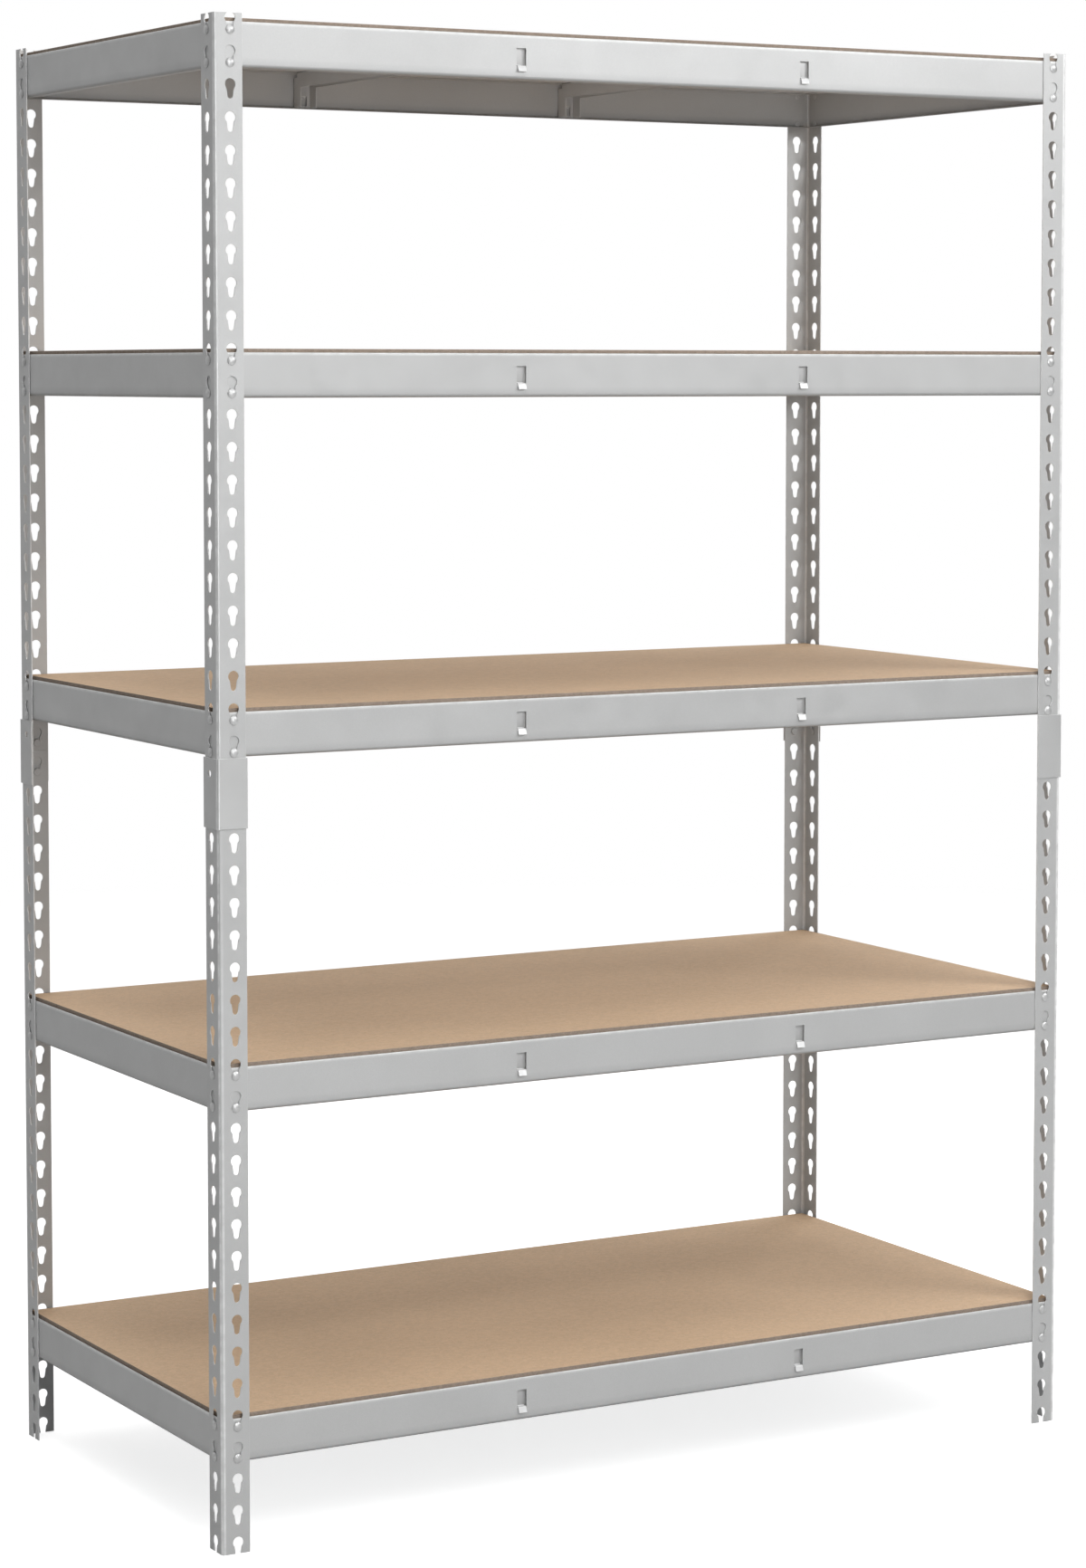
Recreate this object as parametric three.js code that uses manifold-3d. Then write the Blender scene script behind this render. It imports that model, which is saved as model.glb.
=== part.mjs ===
// Boltless steel shelving: five tiers of particle board on riveted steel beams,
// hooked into the keyholes of four L-section posts.
//
// Millimetres, +Z up. The origin is on the floor, in the middle of the footprint.
// X runs along the shelves and Y from front (-Y) to back (+Y).

import * as THREE from "three";
import { mergeVertices } from "three/addons/utils/BufferGeometryUtils.js";
import Module from "manifold-3d";

const wasm = await Module();
wasm.setup();

// ---------------------------------------------------------------- dimensions

// Outside of the four posts, without the rivet heads
const HEIGHT = 1810;
const WIDTH = 1219;
const DEPTH = 610;

// Clearance between pieces that touch on the real object
const GAP = 0.3;

// Posts: a bent strip of steel, in an upper and a lower half
const POST_FLANGE = 36;
const POST_SHEET = 1.5;
const POST_BEND = 2.5;
const POST_HALF = HEIGHT / 2;

// Keyholes: a round head, a narrower tail that the rivet drops into
const KEYHOLE_PITCH = 38.1;
const KEYHOLES_PER_HALF = 24;
const KEYHOLE_COLUMN = 20.5;
const KEYHOLE_HEAD_RADIUS = 6.75;
const KEYHOLE_SHOULDER = 1.5;
const KEYHOLE_TAIL_RADIUS = 3.4;
const KEYHOLE_SEAT_DROP = 13.35;
const FIRST_KEYHOLE_DROP = 5.75;

// Beams: one folded sheet with a raised lip, a ledge for the board and a bottom return
const BEAM_HEIGHT = 53;
const BEAM_SHEET = 1.2;
const BEAM_TOP_DROP = 3.8;
const LIP_THICKNESS = 2 * BEAM_SHEET;
const LIP_HEIGHT = 5;
const LEDGE_WIDTH = 14;
const RETURN_WIDTH = 9;
const BEAM_INSET = POST_SHEET + GAP;

// How far a beam's end stays from the outside of the post's corner, and how far apart the
// ledges and returns of two beams stay where they meet
const BEAM_END_SETBACK = 10;
const CORNER_GAP = 0.4;

// Rivets, two at each end of a beam, one keyhole apart
const RIVET_SHANK_RADIUS = 3;
const RIVET_HEAD_RADIUS = 5.5;
const RIVET_CROWN_RADIUS = 3.8;
const RIVET_HEAD_HEIGHT = 2.2;
const RIVET_SIDES = 6;

// How far one solid reaches into the next where the two are one piece
const BITE = 0.3;

// Boards
const BOARD_THICKNESS = 9;
const BOARD_CLEARANCE = 1;
const BOARD_CHAMFER = 0.6;

// Tie bars, and the slots in the long beams that they hook into
const TIE_BAR_OFFSET = WIDTH / 6;
const TIE_BAR_WIDTH = 24;
const TIE_BAR_DEPTH = 20;
const TIE_BAR_NOTCH = 12;
const TIE_BAR_LEG = 20;
const TIE_BAR_FOOT = BEAM_HEIGHT - BEAM_SHEET - GAP;
const SLOT_WIDTH = 13;
const SLOT_HEIGHT = 22;
const PLATE_SETBACK = 3;
const HOOK_WIDTH = 11;
const HOOK_OVERLAP = 6;
const HOOK_FLARE = 2.2;
const HOOK_WINDOW = 11.5;

// Couplers: plain L-shaped sleeves outside the joint of two half posts
const COUPLER_LENGTH = 83;
const COUPLER_FLANGE = 39;
const COUPLER_SHEET = 1.5;
const COUPLER_SIGHT_RADIUS = 4;
const COUPLER_SIGHT_SIDES = 8;
const COUPLER_STUD_HEAD_RADIUS = 5;
const COUPLER_STUD_HEAD_HEIGHT = 1.5;

// The keyhole, counted from the top of the post, in which each shelf's upper rivets sit
const SHELF_KEYHOLES = { 1: 0, 2: 10, 3: 21, 4: 32, 5: 43 };

const PAINTED_STEEL = { color: 0xbfc1c0, roughness: 0.45, metalness: 0.35 };
const ZINC_STEEL = { color: 0xb4b7b8, roughness: 0.4, metalness: 0.5 };
const PARTICLE_BOARD = { color: 0xc8a07a, roughness: 0.75, metalness: 0 };

// ------------------------------------------------------------ solid modelling

// The closed solid that a three.js geometry bounds
function solid(geometry) {
  geometry.deleteAttribute("normal");
  geometry.deleteAttribute("uv");
  const merged = mergeVertices(geometry, 1e-4);
  return new wasm.Manifold(new wasm.Mesh({
    numProp: 3,
    vertProperties: merged.attributes.position.array,
    triVerts: new Uint32Array(merged.index.array),
  }));
}

// A flat-shaded geometry of a solid's faces
function geometryOf(manifold) {
  const { vertProperties, triVerts } = manifold.getMesh();
  const indexed = new THREE.BufferGeometry();
  indexed.setAttribute("position", new THREE.BufferAttribute(vertProperties, 3));
  indexed.setIndex(new THREE.BufferAttribute(triVerts, 1));
  const faceted = indexed.toNonIndexed();
  faceted.computeVertexNormals();
  return faceted;
}

function union(solids) {
  return solids.reduce((whole, next) => whole.add(next));
}

// A box from its lowest corner to its highest
function block(low, high) {
  const size = high.map((value, axis) => value - low[axis]);
  const middle = high.map((value, axis) => (value + low[axis]) / 2);
  return solid(new THREE.BoxGeometry(...size).translate(...middle));
}

// An outline in X and Y, raised from z = 0 to the given height
function prism(outline, height) {
  const shape = new THREE.Shape(outline.map(([x, y]) => new THREE.Vector2(x, y)));
  return new THREE.ExtrudeGeometry(shape, { depth: height, bevelEnabled: false });
}

// An outline in Y and Z, drawn out along X to the same length on both sides of x = 0
function prismAlongX(outline, halfLength) {
  const raised = prism(outline, 2 * halfLength);
  return solid(raised.rotateX(Math.PI / 2).rotateZ(Math.PI / 2).translate(-halfLength, 0, 0));
}

// A round or tapered pin along Y, from one y to another
function pinAlongY(startRadius, endRadius, [x, z], startY, endY, sides) {
  const length = endY - startY;
  const pin = new THREE.CylinderGeometry(endRadius, startRadius, length, sides);
  pin.translate(x, (startY + endY) / 2, z);
  return solid(pin);
}

// Swaps X and Y, for the second flange of an L-section
function mirroredInDiagonal(manifold) {
  return manifold.rotate([0, 0, 90]).mirror([1, 0, 0]);
}

// One named sub-part with a finish of its own
function subPart(name, geometry, finish) {
  const mesh = new THREE.Mesh(geometry, new THREE.MeshStandardMaterial(finish));
  mesh.name = name;
  return mesh;
}

// ---------------------------------------------------------------------- posts

// Height above the floor of the middle of a keyhole's head, counted from the top of the post
function keyholeHeight(index) {
  return HEIGHT - FIRST_KEYHOLE_DROP - KEYHOLE_PITCH * index;
}

function beamTopHeight(shelf) {
  return keyholeHeight(SHELF_KEYHOLES[shelf]) - BEAM_TOP_DROP;
}

// L-section with its outer corner on the Z axis and its flanges along +X and +Y
function angleSection(flange, sheet, bend) {
  const inner = sheet + bend / 2;
  return [
    [bend, 0], [flange, 0], [flange, sheet], [inner, sheet],
    [sheet, inner], [sheet, flange], [0, flange], [0, bend],
  ];
}

// A cutter for one keyhole of the flange along +X
function keyholeCutter(height) {
  const tailEnd = -KEYHOLE_SEAT_DROP - KEYHOLE_TAIL_RADIUS;
  const outline = [
    [-KEYHOLE_TAIL_RADIUS, tailEnd], [KEYHOLE_TAIL_RADIUS, tailEnd],
    [KEYHOLE_HEAD_RADIUS, KEYHOLE_SHOULDER], [0, KEYHOLE_HEAD_RADIUS],
    [-KEYHOLE_HEAD_RADIUS, KEYHOLE_SHOULDER],
  ];
  const cutter = prism(outline, 3 * POST_SHEET);
  cutter.rotateX(Math.PI / 2);
  cutter.translate(KEYHOLE_COLUMN, 2 * POST_SHEET, height);
  return solid(cutter);
}

// One half of a post, standing on z = 0, with its keyholes in both flanges. Its lower end
// belongs at the given height above the floor.
function halfPost(firstKeyhole, baseHeight, length) {
  const strip = solid(prism(angleSection(POST_FLANGE, POST_SHEET, POST_BEND), length));
  const cutters = [];
  for (let step = 0; step < KEYHOLES_PER_HALF; step += 1) {
    cutters.push(keyholeCutter(keyholeHeight(firstKeyhole + step) - baseHeight));
  }
  const column = union(cutters);
  return geometryOf(strip.subtract(column).subtract(mirroredInDiagonal(column)));
}

// ------------------------------------------------------------------- couplers

// A sleeve standing on z = 0 with its outer corner on the Z axis. Studs on its inner faces
// hook the keyholes on each side of the joint, and one flange has a round sight hole.
function coupler(sightHoleAlongX) {
  const baseHeight = POST_HALF - COUPLER_LENGTH / 2;
  const section = angleSection(COUPLER_FLANGE, COUPLER_SHEET, POST_BEND);
  const sleeve = solid(prism(section, COUPLER_LENGTH));
  const postFace = COUPLER_SHEET + GAP;
  const column = postFace + KEYHOLE_COLUMN;
  const studs = [KEYHOLES_PER_HALF - 1, KEYHOLES_PER_HALF].map((keyhole) => {
    const seat = [column, keyholeHeight(keyhole) - KEYHOLE_SEAT_DROP - baseHeight];
    const headStart = postFace + POST_SHEET + GAP;
    const headEnd = headStart + COUPLER_STUD_HEAD_HEIGHT;
    const headRadius = COUPLER_STUD_HEAD_RADIUS;
    return union([
      pinAlongY(RIVET_SHANK_RADIUS, RIVET_SHANK_RADIUS, seat,
        COUPLER_SHEET - BITE, headStart + BITE, RIVET_SIDES),
      pinAlongY(headRadius, headRadius, seat, headStart, headEnd, RIVET_SIDES),
    ]);
  });
  const sight = pinAlongY(COUPLER_SIGHT_RADIUS, COUPLER_SIGHT_RADIUS,
    [column, keyholeHeight(KEYHOLES_PER_HALF - 1) - baseHeight],
    -COUPLER_SHEET, 2 * COUPLER_SHEET, COUPLER_SIGHT_SIDES);
  const bothStuds = union(studs);
  return geometryOf(sleeve
    .add(bothStuds)
    .add(mirroredInDiagonal(bothStuds))
    .subtract(sightHoleAlongX ? sight : mirroredInDiagonal(sight)));
}

// ---------------------------------------------------------------------- beams

// A beam along X, with its outer face on y = 0, its inside towards +Y and its top edge on z = 0
function foldedBeam(halfLength, ledgeHalfLength, returnHalfLength) {
  return union([
    block([-halfLength, 0, -BEAM_HEIGHT], [halfLength, BEAM_SHEET, 0]),
    block([-halfLength, 0, -LIP_HEIGHT], [halfLength, LIP_THICKNESS, 0]),
    block([-ledgeHalfLength, 0, -LIP_HEIGHT - BEAM_SHEET],
      [ledgeHalfLength, LEDGE_WIDTH, -LIP_HEIGHT]),
    block([-returnHalfLength, 0, -BEAM_HEIGHT],
      [returnHalfLength, RETURN_WIDTH, -BEAM_HEIGHT + BEAM_SHEET]),
  ]);
}

// A rivet set in the beam's web, with its head outside the post's flange
function rivet(x, z) {
  const headStart = -BEAM_INSET - GAP;
  const headEnd = headStart - RIVET_HEAD_HEIGHT;
  return union([
    pinAlongY(RIVET_SHANK_RADIUS, RIVET_SHANK_RADIUS, [x, z], headStart - BITE, BITE, RIVET_SIDES),
    pinAlongY(RIVET_CROWN_RADIUS, RIVET_HEAD_RADIUS, [x, z], headEnd, headStart, RIVET_SIDES),
  ]);
}

function rivets(offset) {
  const upper = BEAM_TOP_DROP - KEYHOLE_SEAT_DROP;
  const heights = [upper, upper - KEYHOLE_PITCH];
  return union([-offset, offset].flatMap((x) => heights.map((z) => rivet(x, z))));
}

function slotCutter(x) {
  const middle = -BEAM_HEIGHT / 2;
  return block([x - SLOT_WIDTH / 2, -BEAM_SHEET, middle - SLOT_HEIGHT / 2],
    [x + SLOT_WIDTH / 2, 2 * BEAM_SHEET, middle + SLOT_HEIGHT / 2]);
}

// Half the distance between the outer faces of two facing beams
function beamPlane(overall) {
  return overall / 2 - BEAM_INSET;
}

// The long beams' ledges and returns stop beside those of the short beams, which run to the ends
function longBeam() {
  const sidePlane = beamPlane(WIDTH);
  return geometryOf(foldedBeam(
    WIDTH / 2 - BEAM_END_SETBACK,
    sidePlane - LEDGE_WIDTH - CORNER_GAP,
    sidePlane - RETURN_WIDTH - CORNER_GAP,
  )
    .add(rivets(WIDTH / 2 - KEYHOLE_COLUMN))
    .subtract(slotCutter(-TIE_BAR_OFFSET))
    .subtract(slotCutter(TIE_BAR_OFFSET)));
}

function shortBeam() {
  const halfLength = DEPTH / 2 - BEAM_END_SETBACK;
  return geometryOf(foldedBeam(halfLength, halfLength, halfLength)
    .add(rivets(DEPTH / 2 - KEYHOLE_COLUMN)));
}

// ------------------------------------------------------------------- tie bars

// A downward channel along Y under the board, with its top at z = -LIP_HEIGHT. Its walls pass
// under the ledges towards the webs of the long beams, where they deepen into legs that stand on
// the bottom returns. A plate closes each end and hooks through the beam's slot.
function tieBar() {
  const outerFace = beamPlane(DEPTH);
  const ledgeEdge = outerFace - LEDGE_WIDTH - CORNER_GAP;
  const end = outerFace - BEAM_SHEET - PLATE_SETBACK;
  const half = TIE_BAR_WIDTH / 2;
  const bottom = -LIP_HEIGHT - TIE_BAR_DEPTH;
  const top = block([-half, -ledgeEdge, -LIP_HEIGHT - BEAM_SHEET], [half, ledgeEdge, -LIP_HEIGHT]);
  const walls = [-half, half - BEAM_SHEET].flatMap((x) => [
    block([x, -ledgeEdge, bottom], [x + BEAM_SHEET, ledgeEdge, -LIP_HEIGHT]),
    block([x, -end, bottom], [x + BEAM_SHEET, end, -TIE_BAR_NOTCH]),
    block([x, end - TIE_BAR_LEG, -TIE_BAR_FOOT], [x + BEAM_SHEET, end, -TIE_BAR_NOTCH]),
    block([x, -end, -TIE_BAR_FOOT], [x + BEAM_SHEET, TIE_BAR_LEG - end, -TIE_BAR_NOTCH]),
  ]);
  const hook = hookedPlate(end, outerFace + GAP);
  return geometryOf(union([top, ...walls, hook, hook.rotate([0, 0, 180])]));
}

// The plate across a tie bar's end. A tab is cut out of its foot, folded out over the bottom of
// the slot and down in front of the web as a flared lip, and leaves a window behind the web.
function hookedPlate(plateFace, lipFace) {
  const plateBack = plateFace - BEAM_SHEET;
  const half = TIE_BAR_WIDTH / 2;
  const hook = HOOK_WIDTH / 2;
  const window = SLOT_WIDTH / 2;
  const slotBottom = -(BEAM_HEIGHT + SLOT_HEIGHT) / 2;
  const tabBottom = slotBottom + GAP;
  const tabTop = tabBottom + BEAM_SHEET;
  const lipEnd = slotBottom - HOOK_OVERLAP;
  const plate = block([-half, plateBack, -TIE_BAR_FOOT], [half, plateFace, -TIE_BAR_NOTCH]);
  const opening = block([-window, plateBack - BEAM_SHEET, tabBottom - HOOK_WINDOW],
    [window, plateFace + BEAM_SHEET, tabBottom]);
  const tab = block([-hook, plateBack, tabBottom], [hook, lipFace + BEAM_SHEET, tabTop]);
  const lip = prismAlongX([
    [lipFace, tabTop], [lipFace + HOOK_FLARE, lipEnd],
    [lipFace + HOOK_FLARE + BEAM_SHEET, lipEnd], [lipFace + BEAM_SHEET, tabTop],
  ], hook);
  return union([plate.subtract(opening), tab, lip]);
}

// --------------------------------------------------------------------- boards

// A particle board lying on the ledges, with its origin in line with the beams' top edges
function board() {
  const margin = BEAM_INSET + LIP_THICKNESS + BOARD_CLEARANCE + BOARD_CHAMFER;
  const x = WIDTH / 2 - margin;
  const y = DEPTH / 2 - margin;
  const shape = new THREE.Shape([[-x, -y], [x, -y], [x, y], [-x, y]]
    .map(([px, py]) => new THREE.Vector2(px, py)));
  const sheet = new THREE.ExtrudeGeometry(shape, {
    depth: BOARD_THICKNESS - 2 * BOARD_CHAMFER,
    bevelThickness: BOARD_CHAMFER,
    bevelSize: BOARD_CHAMFER,
    bevelSegments: 1,
  });
  return geometryOf(solid(sheet.translate(0, 0, BOARD_CHAMFER + GAP - LIP_HEIGHT)));
}

// ------------------------------------------------------------------- assembly

// The four corners in order round the footprint, each a quarter turn on from the last
const CORNERS = [
  { name: "front_left", x: -1, y: -1 },
  { name: "front_right", x: 1, y: -1 },
  { name: "back_right", x: 1, y: 1 },
  { name: "back_left", x: -1, y: 1 },
];

function addPosts(shelving) {
  const upperBase = POST_HALF + GAP;
  const lower = halfPost(KEYHOLES_PER_HALF, 0, POST_HALF);
  const upper = halfPost(0, upperBase, HEIGHT - upperBase);
  const sleeves = [coupler(false), coupler(true)];
  const sleeveOffset = COUPLER_SHEET + GAP;
  CORNERS.forEach(({ name, x, y }, turn) => {
    const pieces = [
      [subPart(`lower_post_${name}`, lower, PAINTED_STEEL), 0, 0],
      [subPart(`upper_post_${name}`, upper, PAINTED_STEEL), upperBase, 0],
      [subPart(`post_coupler_${name}`, sleeves[turn % 2], PAINTED_STEEL),
        POST_HALF - COUPLER_LENGTH / 2, sleeveOffset],
    ];
    for (const [piece, height, outset] of pieces) {
      piece.position.set(x * (WIDTH / 2 + outset), y * (DEPTH / 2 + outset), height);
      piece.rotation.z = turn * Math.PI / 2;
      shelving.add(piece);
    }
  });
}

function addShelves(shelving) {
  const long = longBeam();
  const short = shortBeam();
  const bar = tieBar();
  const panel = board();
  const sides = [
    ["front_beam", long, 0, -beamPlane(DEPTH), 0],
    ["right_beam", short, beamPlane(WIDTH), 0, 1],
    ["back_beam", long, 0, beamPlane(DEPTH), 2],
    ["left_beam", short, -beamPlane(WIDTH), 0, 3],
    ["left_tie_bar", bar, -TIE_BAR_OFFSET, 0, 0],
    ["right_tie_bar", bar, TIE_BAR_OFFSET, 0, 0],
  ];
  for (const shelf of Object.keys(SHELF_KEYHOLES)) {
    const level = new THREE.Group();
    level.position.z = beamTopHeight(shelf);
    for (const [name, geometry, x, y, turn] of sides) {
      const finish = name.endsWith("tie_bar") ? ZINC_STEEL : PAINTED_STEEL;
      const piece = subPart(`${name}_${shelf}`, geometry, finish);
      piece.position.set(x, y, 0);
      piece.rotation.z = turn * Math.PI / 2;
      level.add(piece);
    }
    level.add(subPart(`board_${shelf}`, panel, PARTICLE_BOARD));
    shelving.add(level);
  }
}

const shelving = new THREE.Group();
addPosts(shelving);
addShelves(shelving);

export default shelving;
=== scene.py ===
"""Looks of the boltless steel shelving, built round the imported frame.

Every steel piece is a folded or punched sheet, made here with its real bends, keyholes and
rounded rims, and every board is particle board. Metres, +Z up, in the frame of the CAD model.
"""

import math

import bmesh
import bpy
from mathutils import Matrix, Vector
from mathutils.geometry import tessellate_polygon


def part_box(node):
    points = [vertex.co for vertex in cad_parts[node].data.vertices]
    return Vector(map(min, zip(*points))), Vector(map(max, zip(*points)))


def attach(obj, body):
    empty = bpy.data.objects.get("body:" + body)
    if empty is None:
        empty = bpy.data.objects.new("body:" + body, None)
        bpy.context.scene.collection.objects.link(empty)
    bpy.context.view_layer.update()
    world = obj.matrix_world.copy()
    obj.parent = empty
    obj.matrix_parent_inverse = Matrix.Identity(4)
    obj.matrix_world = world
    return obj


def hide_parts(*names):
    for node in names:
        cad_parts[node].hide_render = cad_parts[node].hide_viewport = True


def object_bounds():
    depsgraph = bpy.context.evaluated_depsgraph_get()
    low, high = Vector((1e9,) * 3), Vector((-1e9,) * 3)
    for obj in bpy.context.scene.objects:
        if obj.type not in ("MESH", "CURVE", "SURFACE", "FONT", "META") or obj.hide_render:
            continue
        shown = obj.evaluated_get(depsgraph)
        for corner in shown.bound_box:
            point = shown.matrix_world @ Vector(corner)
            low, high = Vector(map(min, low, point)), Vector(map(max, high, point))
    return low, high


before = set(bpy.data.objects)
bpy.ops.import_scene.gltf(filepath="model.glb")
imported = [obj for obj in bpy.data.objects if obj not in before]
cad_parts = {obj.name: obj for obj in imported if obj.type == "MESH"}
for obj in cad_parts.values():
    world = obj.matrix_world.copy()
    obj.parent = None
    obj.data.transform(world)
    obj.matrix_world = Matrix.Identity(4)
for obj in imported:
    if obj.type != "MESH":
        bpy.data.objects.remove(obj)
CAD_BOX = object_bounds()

MM = 0.001
SHELVES = (1, 2, 3, 4, 5)
CORNERS = ("front_left", "front_right", "back_right", "back_left")
SWAP_X_Y = Matrix(((0, 1, 0, 0), (1, 0, 0, 0), (0, 0, 1, 0), (0, 0, 0, 1)))

# Meshing: lengths in millimetres, and the angles in degrees beyond which an edge is sharp
WELD = 0.002  # points nearer than this are one
STRIP_SHARP = 30
LATHE_SHARP = 40
SHEET_SHARP = 35
BOARD_SHARP = 40
NEVER_SHARP = 180
SHEET_RIM = 0.18  # rounding of a folded sheet's rims
SHEET_RIM_STEPS = 2
SHEET_RIM_ANGLE = 60
NORMAL_WEIGHT = 100

# Posts, in millimetres. Keyholes are measured from the middle of their round heads
POST_SHEET = 1.5
POST_BEND = 3.0  # outer radius of the L's bend
BEND_STEPS = 8
BEND_GLEAM = 2.4  # width over which the bend's painted highlight fades out on a flange
RIM_CHAMFER = 0.22
KEYHOLE_PITCH = 38.1
KEYHOLES_PER_HALF = 24
KEYHOLE_COLUMN = 20.5  # from the post's outer corner to the middle of its keyholes
KEYHOLE_HEAD = 6.75  # radius
KEYHOLE_TAIL = 3.4  # radius
KEYHOLE_SEAT = 13.35  # down to the middle of the tail's round end
KEYHOLE_TAPER = math.radians(8)  # lean of the tail's sides
FIRST_KEYHOLE_DROP = 5.75  # from the post's top
HEAD_STEPS = 9
TAIL_STEPS = 5

# Couplers and their studs, in millimetres
COUPLER_SIGHT = 4.0  # radius of the sleeve's sight hole
SIGHT_STEPS = 20
STUD_ROOT = 0.4  # depth in the sleeve's sheet
STUD_HEAD = 5.0  # radius
STUD_HEAD_HEIGHT = 1.5
STUD_INNER_EDGE = 0.3
STUD_OUTER_EDGE = 0.5

# Beams, in millimetres. The sheets are thickened to a little less than BEAM_SHEET
BEAM_HEIGHT = 53.0
BEAM_SHEET = 1.2
SHEET_SOLID = 1.15
BEAM_TOP_DROP = 3.8  # from a keyhole to the top of the beam that hangs in it
BEAM_INSET = 1.8  # from the posts' outer faces to the beams'
LIP_HEIGHT = 5.0  # over the ledge for the board
LIP_GLEAM = 3.0  # height over which the hem's painted highlight fades out
HEM_STEPS = 8
LEDGE_WIDTH = 14.0  # from the beam's outer face
LEDGE_BEND = 1.0  # radius of the middle of the sheet
LEDGE_BEND_STEPS = 4
RETURN_WIDTH = 9.0  # from the beam's outer face
CORNER_GAP = 0.4  # between the ledges of two beams
FOOT_BEND = 3.6  # radius of the middle of the sheet
FOOT_STEPS = 8
FOOT_SHADE = 8.0  # height over which the foot's painted shade fades out
SLOT_WIDTH = 13.0
SLOT_HEIGHT = 22.0
GAP = 0.3  # between pieces that hang or hook on each other

# Tie bars and their hooks, in millimetres
TIE_BAR_WIDTH = 24.0
TIE_BAR_DEPTH = 20.0  # of the bar's walls, below the ledges
TIE_BAR_NOTCH = 12.0  # down to here its ends stop short of the ledges
TIE_BAR_LEG = 20.0  # length of a leg along the bar
TIE_BAR_FOOT = 51.5  # of a leg, below the beams' tops
TIE_BAR_BEND = 1.8
PLATE_SETBACK = 3.0  # of the end plate behind the beam's web
HOOK_WIDTH = 11.0
HOOK_OVERLAP = 6.0  # of the lip, below the slot
HOOK_FLARE = 2.2  # of the lip's end, away from the web
HOOK_WINDOW = 11.5  # height of the window that the tab leaves
HOOK_BEND = 1.2
FOLD_STEPS = 5

# Rivets: radii and heights in millimetres. The studs share their shank and steps
RIVET_SHANK = 3.0
RIVET_HEAD = 5.5
RIVET_HEAD_HEIGHT = 2.2
RIVET_DOME = 1.7  # the round part of the head's height
RIVET_DOME_STEPS = 8
RIVET_HEAD_EDGE = 0.1
RIVET_TAIL_HEAD = 4.0  # inside the beam
RIVET_TAIL_HEIGHT = 0.9
RIVET_TAIL_SLOPE = 0.6
RIVET_TAIL_EDGE = 0.5
LATHE_STEPS = 28

# Boards, in millimetres, and the upright part of a broad face's normal
BOARD_ROUND = 0.7
BOARD_ROUND_STEPS = 3
BOARD_ROUND_PROFILE = 0.6
BROAD_FACE = 0.9
FACE, EDGE, BACK = 0, 1, 2

# Painted light on the coat: a painted highlight above 0 on folds and rims, and painted shade below 0
FULL_HIGHLIGHT = 1.0
LEDGE_HIGHLIGHT = 0.5
HEM_HIGHLIGHT = 0.7
HOOK_LIP_HIGHLIGHT = 0.6
FOOT_PAINTED_SHADE = -0.3
FOOT_PAINTED_SHADE_STEP = -0.175
FOOT_PAINTED_SHADE_MOST = -1.0


# ------------------------------------------------------------------ mesh helpers


def arc(centre, radius, start, end, steps):
    """Points on a circle from one angle to another, in degrees, both ends included."""
    angles = [math.radians(start + (end - start) * i / steps) for i in range(steps + 1)]
    return [(centre[0] + radius * math.cos(a), centre[1] + radius * math.sin(a)) for a in angles]


def new_mesh(name, faces, sharp_angle):
    """A mesh of faces given as lists of points in millimetres, with painted light as a fourth number.
    """
    mesh = bpy.data.meshes.new(name)
    work = bmesh.new()
    layer = work.verts.layers.float.new("wear")
    for face in faces:
        corners = []
        for point in face:
            vertex = work.verts.new(Vector(point[:3]) * MM)
            vertex[layer] = point[3] if len(point) > 3 else 0.0
            corners.append(vertex)
        work.faces.new(corners)
    bmesh.ops.remove_doubles(work, verts=work.verts, dist=WELD * MM)
    bmesh.ops.recalc_face_normals(work, faces=work.faces)
    work.to_mesh(mesh)
    work.free()
    mesh.shade_smooth()
    mesh.set_sharp_from_angle(angle=math.radians(sharp_angle))
    return mesh


def joined(name, meshes):
    """One mesh of several (mesh, matrix) pairs."""
    work = bmesh.new()
    for mesh, matrix in meshes:
        part = mesh.copy()
        part.transform(matrix)
        if matrix.determinant() < 0:
            part.flip_normals()
        work.from_mesh(part)
        bpy.data.meshes.remove(part)
    mesh = bpy.data.meshes.new(name)
    work.to_mesh(mesh)
    work.free()
    return mesh


def lathe(name, profile):
    """A solid of revolution about the Y axis. The profile is (radius, y) from end to end."""
    faces = []
    turn = 2 * math.pi / LATHE_STEPS

    def on_ring(radius, y, i):
        return (radius * math.cos(i * turn), y, radius * math.sin(i * turn))

    for (r0, y0), (r1, y1) in zip(profile, profile[1:]):
        for i in range(LATHE_STEPS):
            quad = [on_ring(r0, y0, i), on_ring(r0, y0, i + 1),
                    on_ring(r1, y1, i + 1), on_ring(r1, y1, i)]
            if r0 == 0:
                quad = quad[1:]
            elif r1 == 0:
                quad = quad[:3]
            faces.append(quad)
    return new_mesh(name, faces, LATHE_SHARP)


def walls(loops):
    """Quads between loops of the same number of points."""
    faces = []
    for near, far in zip(loops, loops[1:]):
        for i in range(len(near)):
            j = (i + 1) % len(near)
            faces.append([near[i], near[j], far[j], far[i]])
    return faces


def swept(path, stations, kept, painted_lights):
    """Faces of a sheet's middle surface, folded along a path in (inward, up), drawn out along X.

    kept(middle of the piece of path, middle of the piece of length) says what isn't cut away.
    """
    faces = []
    for start, end, start_painted_light, end_painted_light in zip(path, path[1:], painted_lights, painted_lights[1:]):
        middle = ((start[0] + end[0]) / 2, (start[1] + end[1]) / 2)
        for left, right in zip(stations, stations[1:]):
            if kept(middle, (left + right) / 2):
                faces.append([(left, *start, start_painted_light), (right, *start, start_painted_light),
                              (right, *end, end_painted_light), (left, *end, end_painted_light)])
    return faces


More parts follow.
